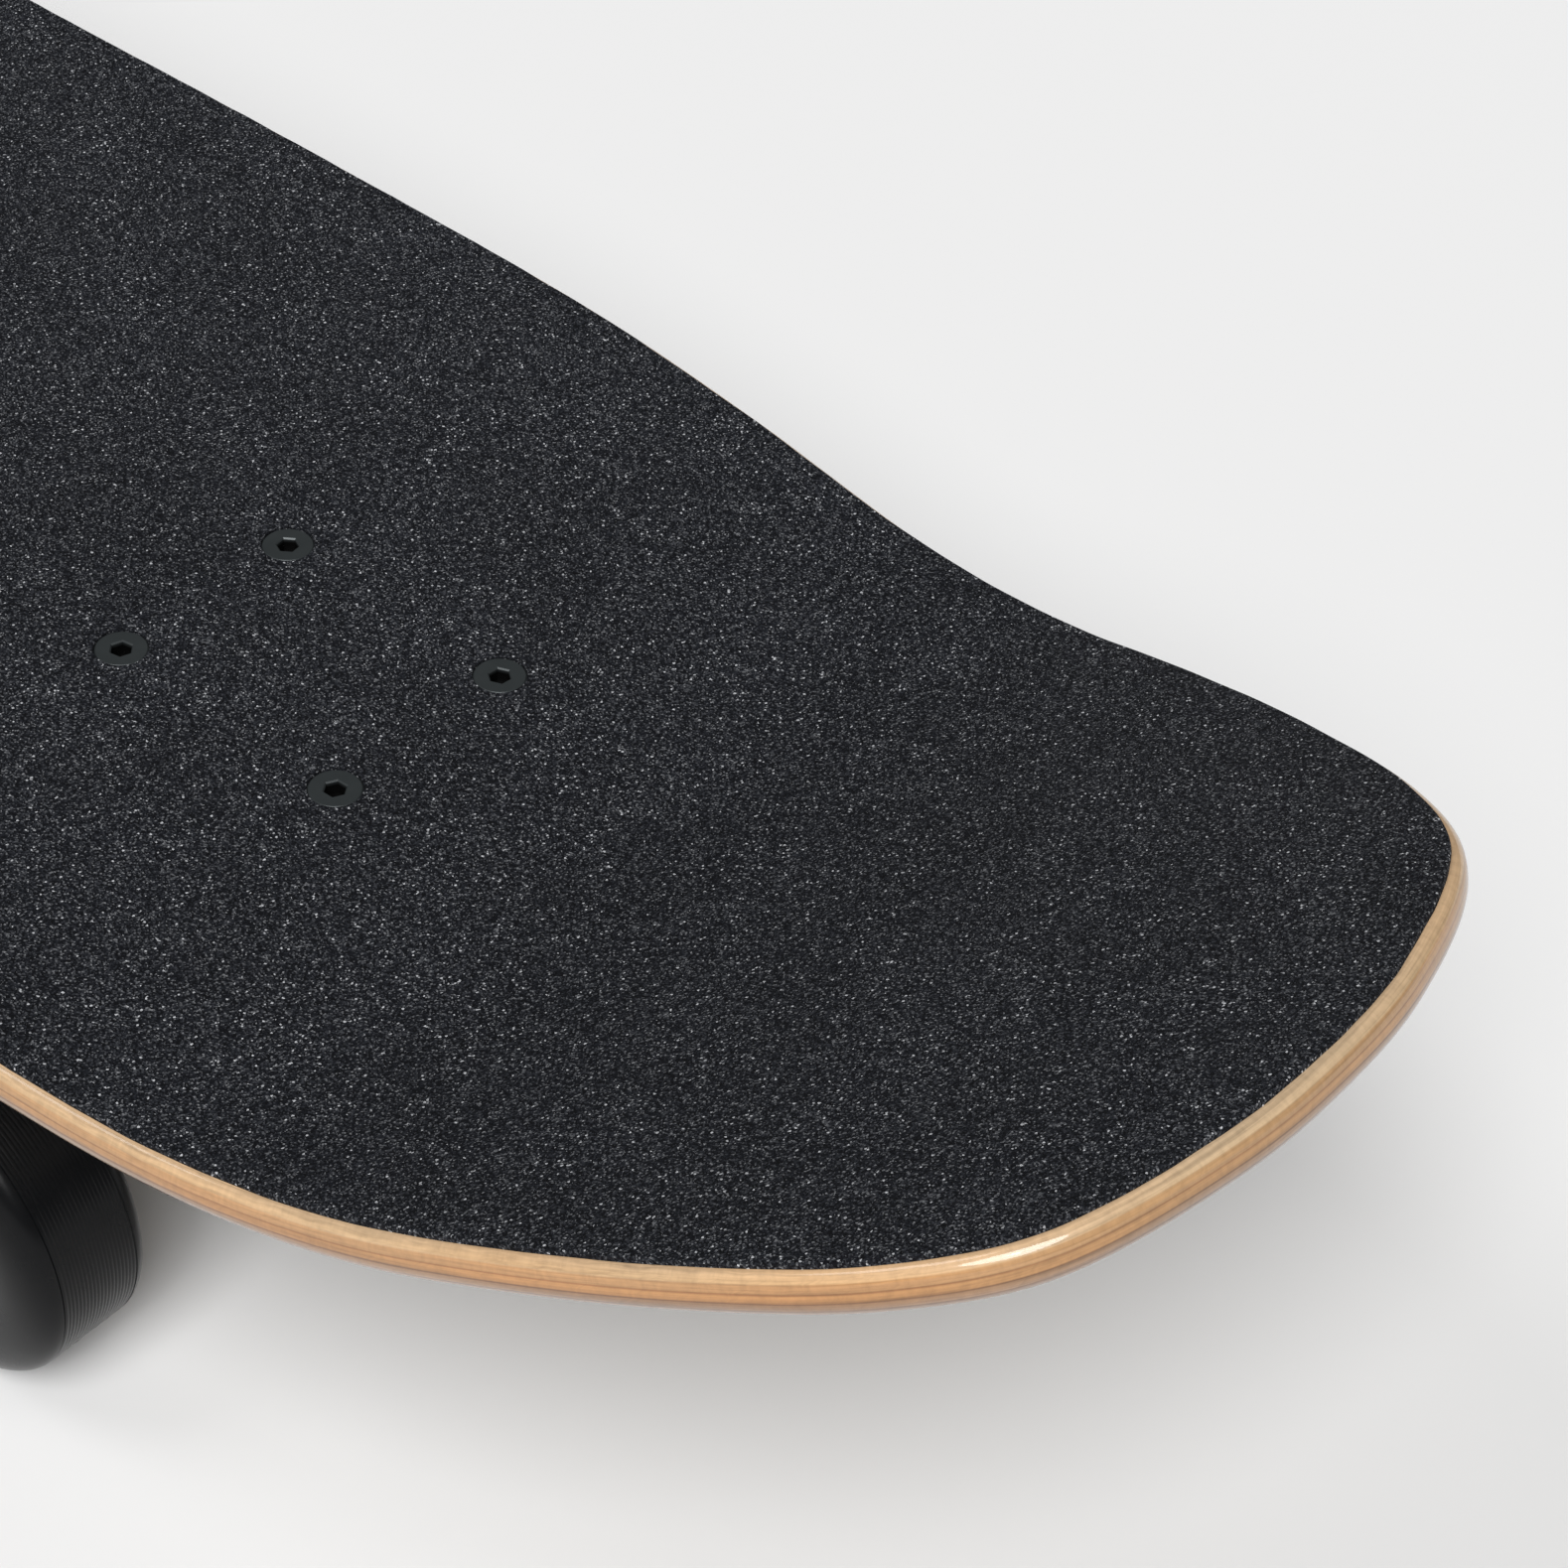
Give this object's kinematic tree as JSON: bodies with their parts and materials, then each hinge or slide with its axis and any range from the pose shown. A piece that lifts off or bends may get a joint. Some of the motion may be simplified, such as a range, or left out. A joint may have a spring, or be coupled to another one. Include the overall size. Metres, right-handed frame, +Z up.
{
  "type": "electric skateboard",
  "caption": "Kicked plywood skateboard with grip tape, two steering trucks, hub motors in the rear wheels, and a battery case under the deck.",
  "frame": {"origin": "on the floor, under the middle of the board's length and width", "axes": "+X to the nose, +Y to the rider's left, +Z up"},
  "size_m": [0.844, 0.2298, 0.1531],
  "materials": {
    "maple": "clear lacquered maple plywood",
    "grip": "black silicon carbide grit",
    "rubber": "matt moulded",
    "cast_metal": "satin tumbled casting",
    "steel": "bright zinc",
    "black_steel": "black oxide",
    "urethane": "smooth cast urethane with a turned tread",
    "bushing": "glossy cast urethane",
    "black_aluminium": "black anodised",
    "copper": "enamelled winding",
    "case_plastic": "fine moulded texture",
    "wrap": "shrink wrap"
  },
  "bodies": {
    "deck": {"deck": "maple", "grip_tape": "grip", "front_riser_pad": "rubber", "front_bolt_1": "black_steel", "front_bolt_2": "black_steel", "front_bolt_3": "black_steel", "front_bolt_4": "black_steel", "front_baseplate": "cast_metal", "front_pivot_cup": "rubber", "front_kingpin": "black_steel", "front_board_bushing": "bushing", "front_road_bushing": "bushing", "front_board_washer": "steel", "front_road_washer": "steel", "front_kingpin_nut": "black_steel", "rear_riser_pad": "rubber", "rear_bolt_1": "black_steel", "rear_bolt_2": "black_steel", "rear_bolt_3": "black_steel", "rear_bolt_4": "black_steel", "rear_baseplate": "cast_metal", "rear_pivot_cup": "rubber", "rear_kingpin": "black_steel", "rear_board_bushing": "bushing", "rear_road_bushing": "bushing", "rear_board_washer": "steel", "rear_road_washer": "steel", "rear_kingpin_nut": "black_steel", "case_tray": "case_plastic", "battery_pack": "wrap", "controller": "black_aluminium", "charge_port": "black_steel", "left_motor_cable": "rubber", "right_motor_cable": "rubber"},
    "front_hanger": {"front_hanger": "cast_metal", "front_axle": "steel", "front_left_spacer": "steel", "front_right_spacer": "steel", "front_left_axle_nut": "steel", "front_right_axle_nut": "steel"},
    "rear_hanger": {"rear_hanger": "cast_metal", "rear_axle": "steel", "rear_left_stator": "copper", "rear_right_stator": "copper", "rear_left_axle_nut": "steel", "rear_right_axle_nut": "steel"},
    "front_left_wheel": {"front_left_wheel": "urethane", "front_left_inner_bearing": "steel", "front_left_outer_bearing": "steel"},
    "front_right_wheel": {"front_right_wheel": "urethane", "front_right_inner_bearing": "steel", "front_right_outer_bearing": "steel"},
    "rear_left_wheel": {"rear_left_tyre": "urethane", "rear_left_rotor_can": "black_aluminium", "rear_left_rotor_cover": "black_aluminium"},
    "rear_right_wheel": {"rear_right_tyre": "urethane", "rear_right_rotor_can": "black_aluminium", "rear_right_rotor_cover": "black_aluminium"},
    "power_button": {"power_button": "steel"},
    "charge_cap": {"charge_cap": "rubber"}
  },
  "joints": [
    {"name": "front_truck_steer", "type": "hinge", "parent": "deck", "child": "front_hanger", "pos_m": [0.19015, 0, 0.05], "axis": [0.9195, 0, 0.393], "range_deg": [-12, 12], "stiffness_Nm_per_rad": 60, "deforming": ["front_board_bushing", "front_road_bushing"]},
    {"name": "rear_truck_steer", "type": "hinge", "parent": "deck", "child": "rear_hanger", "pos_m": [-0.19515, 0, 0.05], "axis": [-0.9195, 0, 0.393], "range_deg": [-12, 12], "stiffness_Nm_per_rad": 60, "deforming": ["rear_board_bushing", "rear_road_bushing", "left_motor_cable", "right_motor_cable"]},
    {"name": "front_left_wheel_spin", "type": "hinge", "parent": "front_hanger", "child": "front_left_wheel", "pos_m": [0.20865, 0.0878, 0.035], "axis": [0, 1, 0], "continuous": true},
    {"name": "front_right_wheel_spin", "type": "hinge", "parent": "front_hanger", "child": "front_right_wheel", "pos_m": [0.20865, -0.0878, 0.035], "axis": [0, 1, 0], "continuous": true},
    {"name": "rear_left_wheel_spin", "type": "hinge", "parent": "rear_hanger", "child": "rear_left_wheel", "pos_m": [-0.21365, 0.082, 0.035], "axis": [0, 1, 0], "continuous": true},
    {"name": "rear_right_wheel_spin", "type": "hinge", "parent": "rear_hanger", "child": "rear_right_wheel", "pos_m": [-0.21365, -0.082, 0.035], "axis": [0, 1, 0], "continuous": true},
    {"name": "power_button_press", "type": "slide", "parent": "deck", "child": "power_button", "axis": [0, 1, 0], "range_m": [0, 0.0012], "stiffness_N_per_m": 400, "springref_m": -0.0005},
    {"name": "charge_cap_hinge", "type": "hinge", "parent": "deck", "child": "charge_cap", "pos_m": [0.0725, -0.0784, 0.0824], "axis": [-1, 0, 0], "range_deg": [0, 90]}
  ]
}
